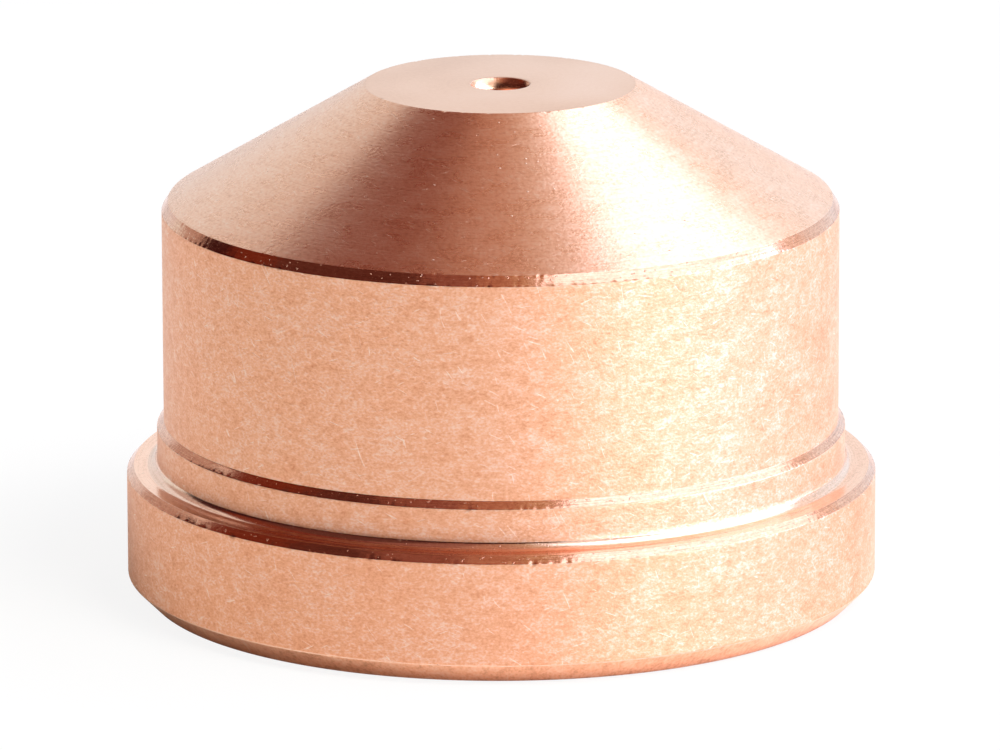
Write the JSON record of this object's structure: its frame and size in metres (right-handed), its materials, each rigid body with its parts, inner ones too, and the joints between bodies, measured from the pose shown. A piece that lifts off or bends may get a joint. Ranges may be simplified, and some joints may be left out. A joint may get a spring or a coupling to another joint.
{
  "type": "plasma torch nozzle",
  "caption": "Turned copper plasma torch nozzle: flat face with a fine orifice, shallow cone, plain barrel, short neck and wide rear flange, bored from behind.",
  "frame": {"origin": "centre of the rear face, which the part stands on", "axes": "+Z along the orifice, from the rear face towards the tip; X and Y are interchangeable because the part is turned"},
  "size_m": [0.022, 0.022, 0.0151],
  "materials": {
    "copper": "fine turned and tumbled bare copper, satin"
  },
  "bodies": {
    "root": {"nozzle": "copper"}
  },
  "joints": []
}
